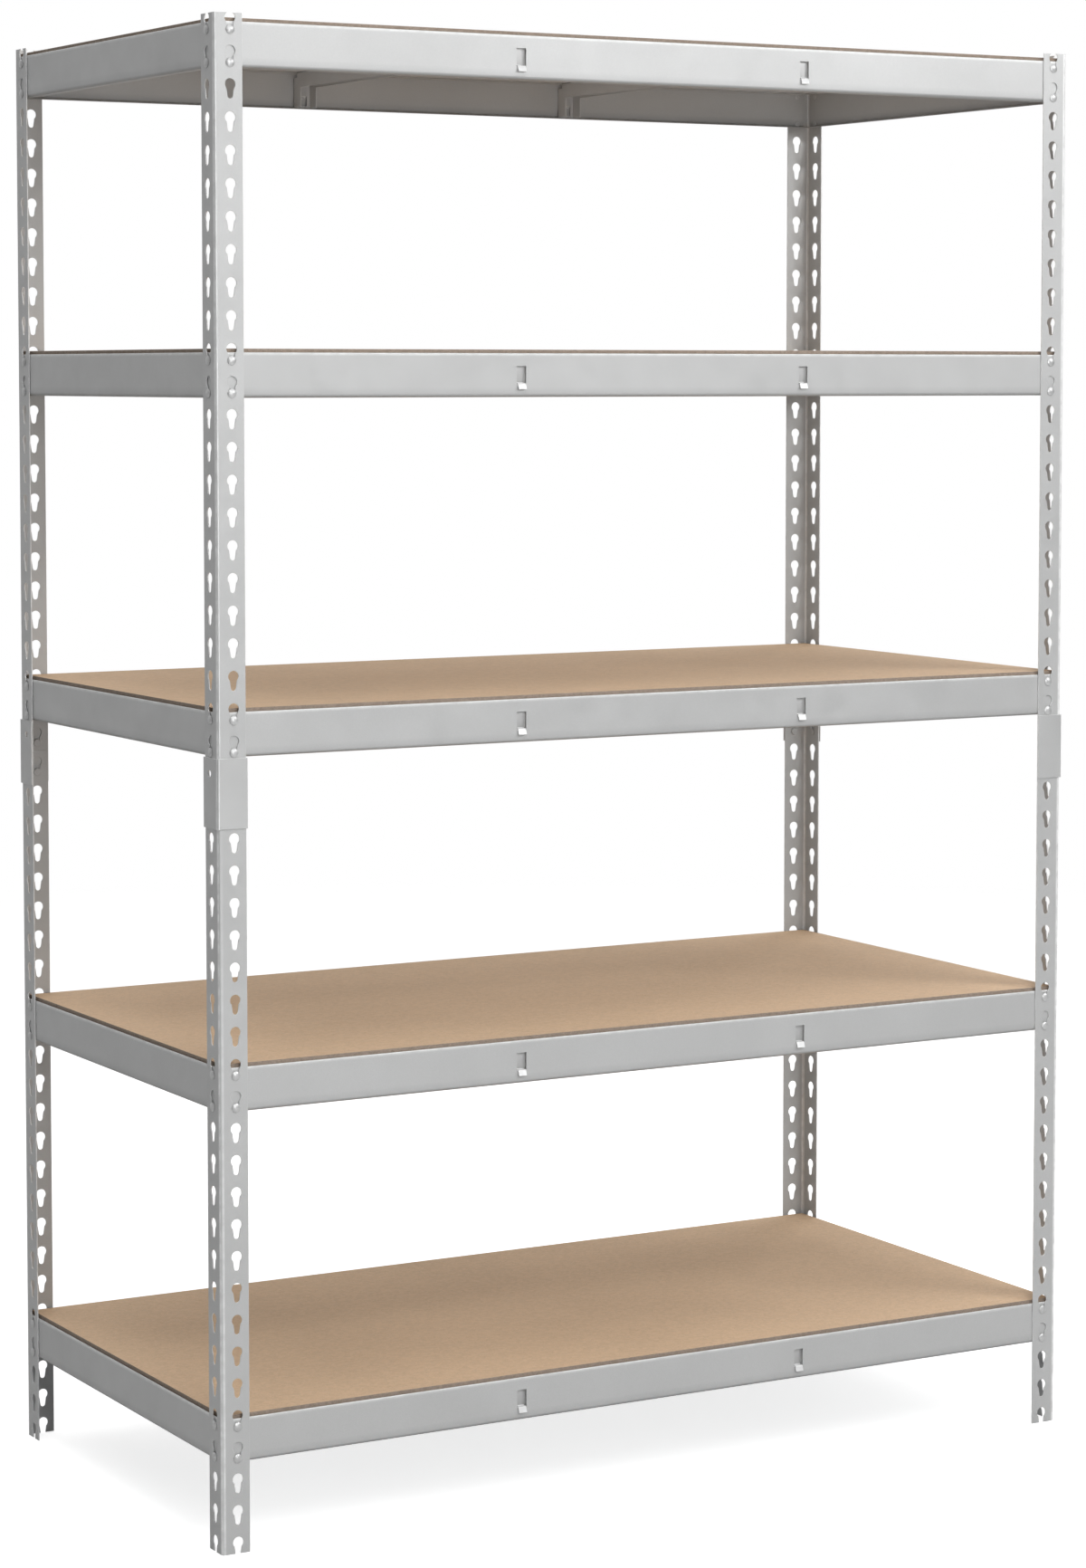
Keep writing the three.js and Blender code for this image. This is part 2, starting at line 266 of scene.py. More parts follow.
def folded_sheet(name, faces):
    """Real sheet metal with softly rounded rims, from the faces of its middle surface."""
    mesh = new_mesh(name, faces, NEVER_SHARP)
    holder = bpy.data.objects.new("thickening", mesh)
    bpy.context.scene.collection.objects.link(holder)
    solidify = holder.modifiers.new("sheet", "SOLIDIFY")
    solidify.thickness = SHEET_SOLID * MM
    solidify.offset = 0
    solidify.use_even_offset = True
    rounding = holder.modifiers.new("rims", "BEVEL")
    rounding.width = SHEET_RIM * MM
    rounding.segments = SHEET_RIM_STEPS
    rounding.limit_method = "ANGLE"
    rounding.angle_limit = math.radians(SHEET_RIM_ANGLE)
    depsgraph = bpy.context.evaluated_depsgraph_get()
    solid = bpy.data.meshes.new_from_object(holder.evaluated_get(depsgraph))
    solid.name = mesh.name + "_solid"
    bpy.data.objects.remove(holder)
    bpy.data.meshes.remove(mesh)
    solid.shade_smooth()
    solid.set_sharp_from_angle(angle=math.radians(SHEET_SHARP))
    return solid


def add_piece(name, mesh, matrix, body, material=None, replaces=()):
    """Puts a piece in the scene, on its body and in its material slot."""
    piece = bpy.data.objects.new(name, mesh)
    bpy.context.scene.collection.objects.link(piece)
    piece.matrix_world = matrix
    if material and not mesh.materials:
        mesh.materials.append(material)
    normals = piece.modifiers.new("even_normals", "WEIGHTED_NORMAL")
    normals.keep_sharp = True
    normals.weight = NORMAL_WEIGHT
    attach(piece, body)
    if replaces:
        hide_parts(*replaces)


# ------------------------------------------------------------------------- posts


def keyhole_side(grow, top=None, bottom=None):
    """The right half of a keyhole's outline from top to bottom, about the head's middle.

    grow widens it, for the chamfered face. top and bottom cut it off at a post's end.
    """
    head, tail = KEYHOLE_HEAD + grow, KEYHOLE_TAIL + grow
    slope = math.tan(KEYHOLE_TAPER)
    reach = tail / math.cos(KEYHOLE_TAPER) + KEYHOLE_SEAT * slope
    # neck is the height at which the tail's leaning side meets the head's circle
    square = reach * reach * slope * slope - (1 + slope * slope) * (reach * reach - head * head)
    neck = (-reach * slope - math.sqrt(square)) / (1 + slope * slope)
    start = 90 if top is None else math.degrees(math.asin(top / head))
    points = arc((0, 0), head, start, math.degrees(math.asin(neck / head)), HEAD_STEPS)
    if bottom is None:
        turn = -math.degrees(KEYHOLE_TAPER)
        points += arc((0, -KEYHOLE_SEAT), tail, turn, -90, TAIL_STEPS)
    else:
        points.append((reach + bottom * slope, bottom))
    return points


def keyhole_loop(height, grow):
    """A whole keyhole's outline on a flange, its head's middle at a height."""
    side = keyhole_side(grow)
    loop = side + [(-x, z) for x, z in side[-2:0:-1]]
    return [(KEYHOLE_COLUMN + x, height + z) for x, z in loop]


def round_loop(across, height, radius):
    """A round hole's outline on a flange."""
    return [(across + x, height + z) for x, z in arc((0, 0), radius, 0, 360, SIGHT_STEPS)[:-1]]


def flange_chain(flange, length, inset, keyholes):
    """A flange's outline from the bend round its free edge to the bend again.

    Keyholes that the ends cut through are notches in it.
    """
    low_cut = [z for z in keyholes if z - KEYHOLE_SEAT - KEYHOLE_TAIL < 0]
    high_cut = [z for z in keyholes if z + KEYHOLE_HEAD > length]
    chain = [(POST_BEND, inset), (POST_BEND + BEND_GLEAM, inset)]
    for z in low_cut:
        side = keyhole_side(inset, bottom=inset - z)
        notch = [(-x, h) for x, h in reversed(side)] + side[1:]
        chain += [(KEYHOLE_COLUMN + x, z + h) for x, h in notch]
    chain += [(flange - inset, inset), (flange - inset, length - inset)]
    for z in high_cut:
        side = keyhole_side(inset, top=length - inset - z)
        notch = side + [(-x, h) for x, h in reversed(side[:-1])]
        chain += [(KEYHOLE_COLUMN + x, z + h) for x, h in notch]
    chain += [(POST_BEND + BEND_GLEAM, length - inset), (POST_BEND, length - inset)]
    return chain


def angle_strip(name, flange, length, keyholes=(), sights=((), ())):
    """An L-section with rounded bend, chamfered rims, keyholes in both flanges and round holes.

    Its outer corner is on the Z axis and its flanges run along +X and +Y.
    """
    rim, sheet = RIM_CHAMFER, POST_SHEET
    # how far in from the outline each ring of a rim lies, its depth in the sheet, and its painted
    # highlight
    rings = ((rim, 0, 0.0), (0, rim, FULL_HIGHLIGHT), (0, sheet - rim, FULL_HIGHLIGHT), (rim, sheet, 0.0))
    whole = [z for z in keyholes
             if z - KEYHOLE_SEAT - KEYHOLE_TAIL >= 0 and z + KEYHOLE_HEAD <= length]

    def on_x(across, z, depth, wear=0.0):
        return (across, depth, z, wear)

    def on_y(across, z, depth, wear=0.0):
        return (depth, across, z, wear)

    # the bend carries a painted highlight across its whole width
    def on_bend(share, z, depth, wear=FULL_HIGHLIGHT):
        angle = share * math.pi / 2
        reach = POST_BEND - depth
        return (POST_BEND - reach * math.sin(angle), POST_BEND - reach * math.cos(angle), z, wear)

    def holes(side, inset):
        loops = [keyhole_loop(z, inset) for z in whole]
        return loops + [round_loop(*hole, COUPLER_SIGHT + inset) for hole in sights[side]]

    def outline(inset):
        chain = flange_chain(flange, length, inset, keyholes)
        shares = [i / BEND_STEPS for i in range(1, BEND_STEPS)]
        return ([(on_x, p, q) for p, q in chain]
                + [(on_bend, s, length - inset) for s in shares]
                + [(on_y, p, q) for p, q in reversed(chain)]
                + [(on_bend, s, inset) for s in reversed(shares)])

    faces = []
    # the two broad faces of each flange
    for side, put in enumerate((on_x, on_y)):
        chain = flange_chain(flange, length, rim, keyholes)
        bend_foot, gleam_foot, gleam_top, bend_top = chain[0], chain[1], chain[-2], chain[-1]
        loops = [chain[1:-1]] + holes(side, rim)
        flat = [point for loop in loops for point in loop]
        triangles = tessellate_polygon([[Vector((p, q, 0)) for p, q in loop] for loop in loops])
        for depth in (0, sheet):
            faces += [[put(*flat[i], depth) for i in triangle] for triangle in triangles]
            # by each bend, a strip over which its painted highlight fades out onto the flange
            faces.append([put(*bend_foot, depth, FULL_HIGHLIGHT), put(*gleam_foot, depth),
                          put(*gleam_top, depth), put(*bend_top, depth, FULL_HIGHLIGHT)])
        # the walls of its holes
        for hole in zip(*(holes(side, inset) for inset, _, _ in rings)):
            faces += walls([[put(*point, depth, wear) for point in loop]
                            for loop, (_, depth, wear) in zip(hole, rings)])
    # the bend
    for step in range(BEND_STEPS):
        start, end = step / BEND_STEPS, (step + 1) / BEND_STEPS
        for depth in (0, sheet):
            faces.append([on_bend(start, rim, depth), on_bend(end, rim, depth),
                          on_bend(end, length - rim, depth), on_bend(start, length - rim, depth)])
    # the rim round the whole strip
    faces += walls([[put(p, q, depth, wear) for put, p, q in outline(inset)]
                    for inset, depth, wear in rings])
    return new_mesh(name, faces, STRIP_SHARP)


def keyhole_heights(first, base, post_top):
    """Heights of one half's keyholes above its lower end."""
    return [post_top - FIRST_KEYHOLE_DROP - KEYHOLE_PITCH * (first + i) - base
            for i in range(KEYHOLES_PER_HALF)]


def corner_matrix(node, turn):
    """Where an L-section's outer corner stands, and its quarter turns about Z."""
    low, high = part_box(node)
    x = low.x if turn in (0, 3) else high.x
    y = low.y if turn in (0, 1) else high.y
    return Matrix.Translation((x, y, low.z)) @ Matrix.Rotation(turn * math.pi / 2, 4, "Z")


def build_posts(paint):
    low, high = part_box("lower_post_front_left")
    upper_low, upper_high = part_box("upper_post_front_left")
    flange = (high.x - low.x) / MM
    top, upper_base = upper_high.z / MM, upper_low.z / MM
    lower = angle_strip("lower_post", flange, (high.z - low.z) / MM,
                        keyhole_heights(KEYHOLES_PER_HALF, low.z / MM, top))
    upper = angle_strip("upper_post", flange, top - upper_base,
                        keyhole_heights(0, upper_base, top))
    for turn, corner in enumerate(CORNERS):
        for kind, mesh in (("lower", lower), ("upper", upper)):
            node = f"{kind}_post_{corner}"
            add_piece(f"{node}_steel", mesh, corner_matrix(node, turn), "posts",
                      paint, [node])


# ---------------------------------------------------------------------- couplers


def stud_mesh():
    """A coupler's stud: from its sleeve through the keyhole's tail to a head inside the post."""
    head_start = POST_SHEET + 2 * GAP
    head_end = head_start + STUD_HEAD_HEIGHT
    return lathe("stud", [
        (0, -STUD_ROOT), (RIVET_SHANK, -STUD_ROOT), (RIVET_SHANK, head_start),
        (STUD_HEAD - STUD_INNER_EDGE, head_start), (STUD_HEAD, head_start + STUD_INNER_EDGE),
        (STUD_HEAD, head_end - STUD_OUTER_EDGE), (STUD_HEAD - STUD_OUTER_EDGE, head_end),
        (0, head_end)])


def build_couplers(paint):
    """Sleeves whose sight holes are on the flanges that face left and right."""
    node_low, node_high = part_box("post_coupler_front_left")
    post_low, post_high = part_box("upper_post_front_left")
    flange = (node_high.x - node_low.x) / MM
    length = (node_high.z - node_low.z) / MM
    outset = (post_low.x - node_low.x) / MM
    post_top = post_high.z / MM
    column = outset + KEYHOLE_COLUMN
    first, second = [post_top - FIRST_KEYHOLE_DROP - KEYHOLE_PITCH * k - node_low.z / MM
                     for k in (KEYHOLES_PER_HALF - 1, KEYHOLES_PER_HALF)]
    sight = [(column, first)]
    stud = stud_mesh()
    meshes = []
    for sights in (((), sight), (sight, ())):
        sleeve = angle_strip("coupler", flange, length, sights=sights)
        parts = [(sleeve, Matrix.Identity(4))]
        for height in (first, second):
            seat = Matrix.Translation(Vector((column, POST_SHEET, height - KEYHOLE_SEAT)) * MM)
            parts += [(stud, seat), (stud, SWAP_X_Y @ seat)]
        meshes.append(joined("coupler", parts))
    for turn, corner in enumerate(CORNERS):
        node = f"post_coupler_{corner}"
        add_piece(f"{node}_steel", meshes[turn % 2], corner_matrix(node, turn), "posts",
                  paint, [node])


# ------------------------------------------------------------------------- beams


def beam_path():
    """The folds of a beam's sheet, from the ledge's edge over the lip to the bottom return."""
    middle = BEAM_SHEET / 2
    ledge = -LIP_HEIGHT - middle
    inner = BEAM_SHEET + middle
    ledge_bend = arc((inner + LEDGE_BEND, ledge + LEDGE_BEND), LEDGE_BEND, 270, 180, LEDGE_BEND_STEPS)
    hem = arc((BEAM_SHEET, -BEAM_SHEET), middle, 0, 180, HEM_STEPS)
    slot_top = (SLOT_HEIGHT - BEAM_HEIGHT) / 2
    foot = middle + FOOT_BEND
    web = [(middle, -BEAM_SHEET - LIP_GLEAM), (middle, slot_top), (middle, slot_top - SLOT_HEIGHT),
           (middle, foot - BEAM_HEIGHT + FOOT_SHADE)]
    bottom_fold = arc((foot, foot - BEAM_HEIGHT), FOOT_BEND, 180, 270, FOOT_STEPS)
    path = [(LEDGE_WIDTH, ledge)] + ledge_bend + hem + web + bottom_fold
    path.append((RETURN_WIDTH, middle - BEAM_HEIGHT))
    # painted shade: it fades in over FOOT_SHADE above the bottom fold and deepens round the fold to
    # its darkest along the return
    painted_shade = [max(FOOT_PAINTED_SHADE_MOST, FOOT_PAINTED_SHADE + FOOT_PAINTED_SHADE_STEP * step)
            for step in range(len(bottom_fold) + 1)]
    # a painted highlight on the ledge's bend and on the hem over the lip
    painted_lights = [0] + [LEDGE_HIGHLIGHT] * len(ledge_bend) + [HEM_HIGHLIGHT] * len(hem) + [0] * len(web) + painted_shade
    return path, painted_lights


def beam_mesh(name, half_length, ledge_half, return_half, slots):
    """A beam along X, its web's outside at y = 0 and its top at z = 0. slots are their middles."""
    path, painted_lights = beam_path()
    slot_sides = [x + side * SLOT_WIDTH / 2 for x in slots for side in (-1, 1)]
    # a set, because the three reaches of a short beam are the same
    ends = [side * reach for reach in {half_length, ledge_half, return_half} for side in (-1, 1)]
    middle = -BEAM_HEIGHT / 2

    def kept(place, x):
        inward, up = place
        if inward > BEAM_SHEET * 2 and up > middle:
            return abs(x) < ledge_half
        if inward > BEAM_SHEET and up < middle:
            return abs(x) < return_half
        beside_slots = all(abs(x - slot) >= SLOT_WIDTH / 2 for slot in slots)
        return beside_slots or abs(up - middle) >= SLOT_HEIGHT / 2

    return folded_sheet(name, swept(path, sorted(ends + slot_sides), kept, painted_lights))


def rivet_mesh():
    """A domed rivet along Y, through the beam's web at y = 0 to a head at negative y."""
    head_start = -BEAM_INSET - GAP
    crown = head_start - RIVET_HEAD_HEIGHT
    radius = (RIVET_HEAD ** 2 + RIVET_DOME ** 2) / (2 * RIVET_DOME)
    dome = []
    for i in range(RIVET_DOME_STEPS + 1):
        reach = RIVET_HEAD * i / RIVET_DOME_STEPS
        dome.append((reach, crown + radius - math.sqrt(radius * radius - reach * reach)))
    tail = BEAM_SHEET + RIVET_TAIL_HEIGHT
    return lathe("rivet", dome + [
        (RIVET_HEAD, head_start - RIVET_HEAD_EDGE), (RIVET_HEAD - RIVET_HEAD_EDGE, head_start),
        (RIVET_SHANK, head_start), (RIVET_SHANK, BEAM_SHEET), (RIVET_TAIL_HEAD, BEAM_SHEET),
        (RIVET_TAIL_HEAD, tail - RIVET_TAIL_EDGE), (RIVET_TAIL_HEAD - RIVET_TAIL_SLOPE, tail),
        (0, tail)])


def rivet_set(name, rivet, offset):
    """The two rivets at each end of a beam, offset from its middle."""
    upper = BEAM_TOP_DROP - KEYHOLE_SEAT
    return joined(name, [(rivet, Matrix.Translation(Vector((x, 0, z)) * MM))
                         for x in (-offset, offset) for z in (upper, upper - KEYHOLE_PITCH)])


def build_beams(paint, rivet_paint):
    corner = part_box("lower_post_back_right")[1]
    half_width, half_depth = corner.x / MM, corner.y / MM
    side_plane, face_plane = half_width - BEAM_INSET, half_depth - BEAM_INSET
    bar_low, bar_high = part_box("right_tie_bar_1")
    slot = (bar_low.x + bar_high.x) / 2 / MM
    long_half, short_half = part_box("front_beam_1")[1].x / MM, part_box("left_beam_1")[1].y / MM
    meshes = {
        "long": beam_mesh("long_beam", long_half, side_plane - LEDGE_WIDTH - CORNER_GAP,
                          side_plane - RETURN_WIDTH - CORNER_GAP, (-slot, slot)),
        "short": beam_mesh("short_beam", short_half, short_half, short_half, ())}
    rivet = rivet_mesh()
    rivets = {
        "long": rivet_set("long_rivets", rivet, half_width - KEYHOLE_COLUMN),
        "short": rivet_set("short_rivets", rivet, half_depth - KEYHOLE_COLUMN)}
    sides = (("front_beam", "long", (0, -face_plane), 0), ("right_beam", "short", (side_plane, 0), 1),
             ("back_beam", "long", (0, face_plane), 2), ("left_beam", "short", (-side_plane, 0), 3))
    for shelf in SHELVES:
        body = f"shelf_frame_{shelf}"
        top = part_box(f"front_beam_{shelf}")[1].z
        for side, kind, (x, y), turn in sides:
            node = f"{side}_{shelf}"
            matrix = (Matrix.Translation((x * MM, y * MM, top))
                      @ Matrix.Rotation(turn * math.pi / 2, 4, "Z"))
            add_piece(f"{node}_steel", meshes[kind], matrix, body, paint, [node])
            add_piece(f"{node}_rivets", rivets[kind], matrix, body, rivet_paint)


# ---------------------------------------------------------------------- tie bars


def tie_bar_channel(ledge_edge, end):
    """The bar itself, a downward channel along X whose walls deepen into legs at its ends."""
    half = (TIE_BAR_WIDTH - BEAM_SHEET) / 2
    top = -LIP_HEIGHT - BEAM_SHEET / 2
    bottom = -LIP_HEIGHT - TIE_BAR_DEPTH
    bend = TIE_BAR_BEND
    leg_start = end - TIE_BAR_LEG
    near_wall = [(-half, -TIE_BAR_FOOT), (-half, bottom), (-half, -TIE_BAR_NOTCH)]
    near_fold = arc((-half + bend, top - bend), bend, 180, 90, FOLD_STEPS)
    far_fold = arc((half - bend, top - bend), bend, 90, 0, FOLD_STEPS)
    far_wall = [(half, -TIE_BAR_NOTCH), (half, bottom), (half, -TIE_BAR_FOOT)]
    # a painted highlight on the bar's folds
    fold_highlights = [0] + [FULL_HIGHLIGHT] * (FOLD_STEPS - 1) + [0]
    painted_lights = [0] * len(near_wall) + fold_highlights + fold_highlights + [0] * len(far_wall)

    def kept(place, along):
        if place[1] > -TIE_BAR_NOTCH:
            return abs(along) < ledge_edge
        return place[1] > bottom or abs(along) > leg_start

    path = near_wall + near_fold + far_fold + far_wall
    stations = [side * x for side in (-1, 1) for x in (end, ledge_edge, leg_start)]
    return folded_sheet("tie_bar_channel", swept(path, sorted(stations), kept, painted_lights))


def tie_bar_hook(plate, lip):
    """The plate across a bar's end, the tab folded out of its foot, and the window that it leaves.

    The tab lies over the bottom of the beam's slot and ends in a lip that flares away from the web.
    """
    half, hook, window = TIE_BAR_WIDTH / 2, HOOK_WIDTH / 2, SLOT_WIDTH / 2
    slot_bottom = -(BEAM_HEIGHT + SLOT_HEIGHT) / 2
    tab = slot_bottom + GAP + BEAM_SHEET / 2
    hinge = tab + HOOK_BEND
    window_bottom = slot_bottom + GAP - HOOK_WINDOW
    stations = [-half, -window, -hook, hook, window, half]
    foot = [(plate, -TIE_BAR_FOOT), (plate, window_bottom)]
    sides = [(plate, window_bottom), (plate, hinge)]
    head = [(plate, hinge), (plate, -TIE_BAR_NOTCH)]
    strip = arc((plate + HOOK_BEND, hinge), HOOK_BEND, 180, 270, FOLD_STEPS)
    strip += arc((lip - HOOK_BEND, tab - HOOK_BEND), HOOK_BEND, 90, 0, FOLD_STEPS)
    strip += [(lip + HOOK_FLARE, slot_bottom - HOOK_OVERLAP)]
    # a painted highlight on the tab's folds and on its lip
    strip_highlights = [0] + [FULL_HIGHLIGHT] * (2 * FOLD_STEPS) + [HOOK_LIP_HIGHLIGHT, FULL_HIGHLIGHT]
    faces = swept(foot, stations, lambda place, x: True, [0, 0])
    faces += swept(sides, stations, lambda place, x: abs(x) > window, [0, 0])
    faces += swept(head, stations, lambda place, x: True, [0, 0])
    faces += swept(strip, stations, lambda place, x: abs(x) < hook, strip_highlights)
    return folded_sheet("tie_bar_hook", faces)


def tie_bar_mesh():
    """A tie bar along Y, with the beams' top edges at z = 0 and its hooks in their slots."""
    out_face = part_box("lower_post_back_right")[1].y / MM - BEAM_INSET
    plate = out_face - BEAM_SHEET - PLATE_SETBACK - BEAM_SHEET / 2
    channel = tie_bar_channel(out_face - LEDGE_WIDTH - CORNER_GAP, plate)
    hook = tie_bar_hook(plate, out_face + GAP + BEAM_SHEET / 2)
    return joined("tie_bar", [(channel, SWAP_X_Y), (hook, Matrix.Identity(4)),
                              (hook, Matrix.Rotation(math.pi, 4, "Z"))])


def build_tie_bars(paint):
    mesh = tie_bar_mesh()
    for shelf in SHELVES:
        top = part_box(f"front_beam_{shelf}")[1].z
        for side in ("left", "right"):
            node = f"{side}_tie_bar_{shelf}"
            low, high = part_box(node)
            matrix = Matrix.Translation(((low.x + high.x) / 2, 0, top))
            add_piece(f"{node}_steel", mesh, matrix, f"shelf_frame_{shelf}",
                      paint, [node])


# ------------------------------------------------------------------------ boards


def build_boards(looks):
    """Boards with rounded edges. looks are the materials of their face, edge and back."""
    for shelf in SHELVES:
        node = f"board_{shelf}"
        low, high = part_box(node)
        middle, half = (low + high) / 2, (high - low) / 2
        mesh = bpy.data.meshes.new(node)
        work = bmesh.new()
        bmesh.ops.create_cube(work, size=2)
        bmesh.ops.scale(work, vec=half, verts=work.verts)
        bmesh.ops.bevel(work, geom=list(work.edges), offset=BOARD_ROUND * MM,
                        segments=BOARD_ROUND_STEPS, profile=BOARD_ROUND_PROFILE, affect="EDGES")
        for side in work.faces:
            if abs(side.normal.z) < BROAD_FACE:
                side.material_index = EDGE
            else:
                side.material_index = FACE if side.normal.z > 0 else BACK
        work.to_mesh(mesh)
        work.free()
        mesh.shade_smooth()
        mesh.set_sharp_from_angle(angle=math.radians(BOARD_SHARP))
        for look in looks:
            mesh.materials.append(look)
        add_piece(f"{node}_panel", mesh, Matrix.Translation(middle), f"shelf_board_{shelf}",
                  replaces=[node])


# --------------------------------------------------------------------- materials

# How far apart in their textures, in metres, two pieces can be
TEXTURE_SHIFT = 37.0

# The coats on the steel: colour, colour of the painted highlight, roughness and metallic
COATS = {
    "post": ((0.538, 0.542, 0.541), (0.93, 0.935, 0.935), 0.42, 0.25),
    "beam": ((0.538, 0.542, 0.541), (0.815, 0.82, 0.82), 0.42, 0.25),
    # the bars' coat is paler than the posts' and beams': painted light that lifts the shade on the
    # bars and on their plates behind the slots
    "bar": ((0.62, 0.622, 0.62), (0.74, 0.745, 0.745), 0.42, 0.25),
    "rivet": ((0.597, 0.60, 0.60), (0.775, 0.78, 0.78), 0.36, 0.4),
}

# A coat's noises: features per metre, detail, and roughness where it isn't 0.5
COAT_CLOUDS = (7.0, 4.0)
COAT_GRAIN = (2600.0, 2.0)
COAT_HIGHLIGHT_PATCHES = (90.0, 3.0)
COAT_GLOSS = (34.0, 5.0, 0.6)
COAT_WAVES = (11.0, 2.0)
COAT_PEEL = (950.0, 2.0)

# Factors on a coat's colour, on its painted shade and on its painted highlight, the change in its
# roughness, and its relief as strength and metres
CLOUD_SHADES = (0.965, 1.03)
GRAIN_SHADES = (0.93, 1.05)
PAINTED_SHADE_FACTOR = 0.6
HIGHLIGHT_PATCH_SHARES = (0.6, 1.0)
GLOSS_SPREAD = (-0.06, 0.08)
WAVE_RELIEF = (0.12, 0.0012)
PEEL_RELIEF = (0.16, 0.00012)

# Particle board: pale and dark chips, chips per metre, relief and contrast
BOARD_LOOKS = {
    "face": ((0.74, 0.523, 0.34), (0.57, 0.403, 0.262), 210.0, 1.0, 0.35),
    "edge": ((0.36, 0.29, 0.235), (0.25, 0.20, 0.16), 330.0, 3.0, 0.5),
    # painted light: the back is a pale neutral grey, not the face's tan, to lift the shade under each
    # board and cancel the brown light bounced onto it
    "back": ((0.69, 0.70, 0.71), (0.56, 0.57, 0.58), 150.0, 1.6, 0.45),
}

# A board's noises, as for the coats
BOARD_CLOUDS = (3.2, 4.0, 0.55)
BOARD_FLECKS = (480.0, 2.0)
BOARD_GLOSS = (120.0, 4.0)
BOARD_FIBRES = (700.0, 3.0)

# Its chips, in two sizes and with wavy edges
CHIP_WOBBLE = 55.0  # waves per metre
CHIP_WOBBLE_REACH = 0.006  # metres
FINER_CHIPS = 3.1  # times as many per metre as the large ones

# What the noises do to the chips' colour, the board's gloss, and its relief in metres
CLOUD_SHIFT = 0.18  # towards the pale or the dark chips
FLECK_SHARE = 0.45  # of a fleck's colour over the chips
FLECK_SHADE = 0.45  # of a fleck against the dark chips
BOARD_ROUGHNESS = (0.62, 0.8)
BOARD_SPECULAR = 0.3
RELIEF_STRENGTH = 0.25
FIBRE_RELIEF = 0.0002
CHIP_RELIEF = 0.00025

# The parts of a noise's values that are spread over the whole of what it changes
MOST_OF_NOISE = (0.3, 0.7)
GRAIN_OF_NOISE = (0.35, 0.65)
HIGHLIGHT_PATCHES_OF_NOISE = (0.35, 0.6)
FLECKS_OF_NOISE = (0.68, 0.74)


class Nodes:
    """A small helper for building a node tree."""

    def __init__(self, tree):
        self.tree = tree

    def add(self, kind, inputs=(), **settings):
        node = self.tree.nodes.new(kind)
        for key, value in settings.items():
            setattr(node, key, value)
        for key, value in dict(inputs).items():
            self.put(node.inputs[key], value)
        return node

    def put(self, socket, value):
        """Links a socket to another one, or sets its value."""
        if isinstance(value, bpy.types.NodeSocket):
            self.tree.links.new(value, socket)
        else:
            socket.default_value = value

    def coordinates(self):
        """The piece's own coordinates in metres, shifted by an amount of the piece's own."""
        place = self.add("ShaderNodeTexCoord").outputs["Object"]
        chance = self.add("ShaderNodeObjectInfo").outputs["Random"]
        return self.vector("ADD", place, self.number("MULTIPLY", chance, TEXTURE_SHIFT))

    def number(self, operation, first, second):
        return self.add("ShaderNodeMath", {0: first, 1: second}, operation=operation).outputs[0]

    def vector(self, operation, first, second):
        node = self.add("ShaderNodeVectorMath", {0: first, 1: second}, operation=operation)
        return node.outputs[0]

    def noise(self, vector, scale, detail, roughness=0.5):
        return self.add("ShaderNodeTexNoise", {
            "Vector": vector, "Scale": scale, "Detail": detail, "Roughness": roughness}).outputs["Fac"]

    def chips(self, vector, scale):
        """A number of its own for each cell of a Voronoi pattern."""
        colour = self.add("ShaderNodeTexVoronoi", {"Vector": vector, "Scale": scale}).outputs["Color"]
        return self.add("ShaderNodeSeparateColor", {"Color": colour}).outputs[0]

    def ranged(self, value, low, high, to_low, to_high):
        return self.add("ShaderNodeMapRange", {
            "Value": value, "From Min": low, "From Max": high,
            "To Min": to_low, "To Max": to_high}).outputs["Result"]

    def mixed(self, share, first, second, blend="MIX"):
        node = self.add("ShaderNodeMix", data_type="RGBA", blend_type=blend)
        self.put(node.inputs["Factor"], share)
        colours = [s for s in node.inputs if s.type == "RGBA"]
        self.put(colours[0], first)
        self.put(colours[1], second)
        return [s for s in node.outputs if s.type == "RGBA"][0]

    def bump(self, height, strength, distance, under=None):
        node = self.add("ShaderNodeBump", {
            "Height": height, "Strength": strength, "Distance": distance})
        if under is not None:
            self.put(node.inputs["Normal"], under)
        return node.outputs["Normal"]


def new_material(name):
    """A node material, the helper for its tree, and its shader's inputs."""
    material = bpy.data.materials.new(name)
    material.use_nodes = True
    tree = material.node_tree
    return material, Nodes(tree), tree.nodes["Principled BSDF"].inputs


def shaded(colour, factor=1.0):
    """A colour with its alpha, darker or paler by a factor."""
    return [min(1, part * factor) for part in colour] + [1]


